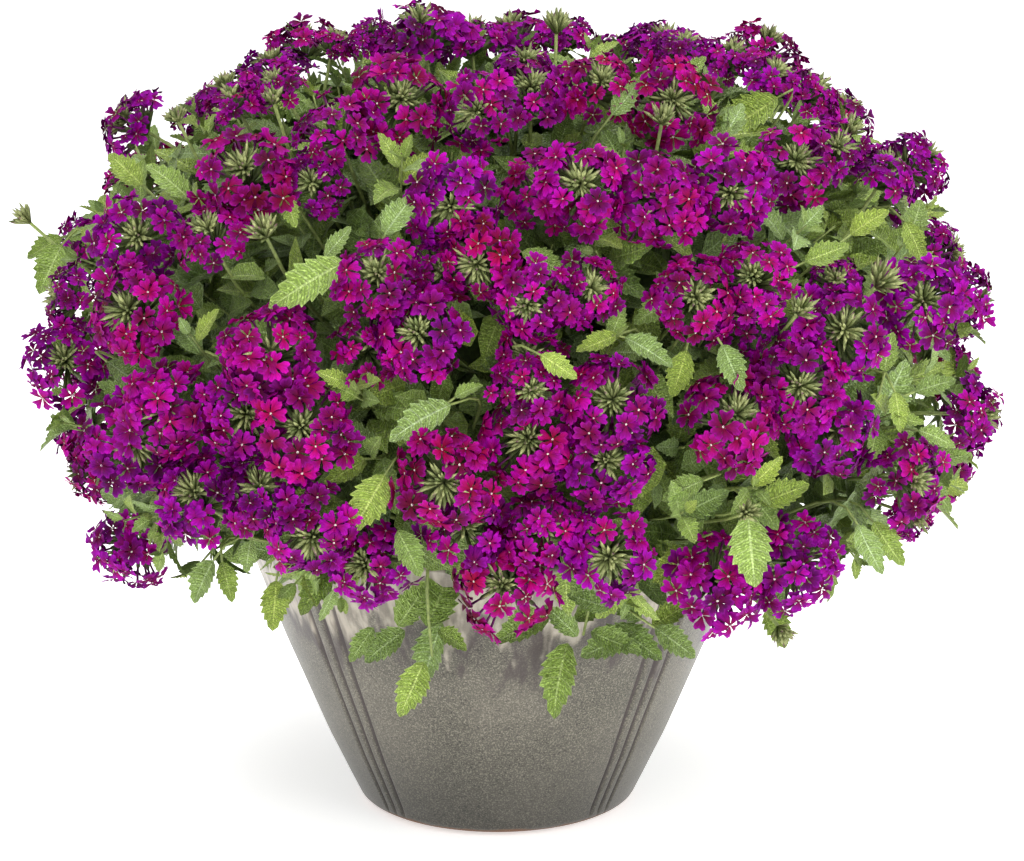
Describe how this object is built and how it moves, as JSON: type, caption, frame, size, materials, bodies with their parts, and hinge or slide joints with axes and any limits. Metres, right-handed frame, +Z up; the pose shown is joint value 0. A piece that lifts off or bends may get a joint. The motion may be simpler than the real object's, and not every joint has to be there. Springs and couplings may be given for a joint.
{
  "type": "potted verbena",
  "caption": "Bushy bedding verbena in full purple bloom, a mound of domed flower heads and toothed leaves standing in a round glazed stoneware pot.",
  "frame": {"origin": "centre of the pot's flat base, on the surface it stands on", "axes": "+Z up, +X along the widest spread of the plant, and the front faces -Y"},
  "size_m": [0.6669, 0.6134, 0.5647],
  "materials": {
    "stoneware": "satin",
    "potting_mix": "matte",
    "foliage": "matte",
    "petals_purple": "matte",
    "petals_magenta": "matte",
    "petals_crimson": "matte"
  },
  "bodies": {
    "root": {"pot": "stoneware", "soil": "potting_mix", "leafy_stem_01": "foliage", "leafy_stem_02": "foliage", "leafy_stem_03": "foliage", "leafy_stem_04": "foliage", "leafy_stem_05": "foliage", "leafy_stem_06": "foliage", "leafy_stem_07": "foliage", "leafy_stem_08": "foliage", "leafy_stem_09": "foliage", "leafy_stem_10": "foliage", "leafy_stem_11": "foliage", "leafy_stem_12": "foliage", "flower_heads_01": "petals_purple", "flower_heads_02": "petals_crimson", "flower_heads_03": "petals_magenta", "flower_heads_04": "petals_magenta", "flower_heads_05": "petals_purple", "flower_heads_06": "petals_purple", "flower_heads_07": "petals_purple", "flower_heads_08": "petals_magenta", "flower_heads_09": "petals_magenta", "flower_heads_10": "petals_purple", "flower_heads_11": "petals_purple", "flower_heads_12": "petals_magenta", "flower_heads_13": "petals_magenta", "flower_heads_14": "petals_magenta", "flower_heads_15": "petals_purple", "flower_heads_16": "petals_purple", "flower_heads_17": "petals_crimson", "flower_heads_18": "petals_purple", "flower_heads_19": "petals_purple", "flower_heads_20": "petals_crimson", "flower_heads_21": "petals_magenta", "flower_heads_22": "petals_purple", "flower_heads_23": "petals_magenta", "flower_heads_24": "petals_purple", "flower_heads_25": "petals_magenta", "flower_heads_26": "petals_crimson", "flower_heads_27": "petals_purple", "flower_heads_28": "petals_magenta", "flower_heads_29": "petals_purple", "flower_heads_30": "petals_magenta", "flower_heads_31": "petals_crimson", "flower_heads_32": "petals_purple", "flower_heads_33": "petals_magenta", "flower_heads_34": "petals_purple", "flower_heads_35": "petals_magenta", "flower_heads_36": "petals_crimson", "flower_heads_37": "petals_purple", "flower_heads_38": "petals_magenta", "flower_heads_39": "petals_purple", "flower_heads_40": "petals_magenta", "flower_heads_41": "petals_crimson", "flower_heads_42": "petals_purple", "flower_heads_43": "petals_purple", "flower_heads_44": "petals_purple", "flower_heads_45": "petals_magenta"}
  },
  "joints": []
}
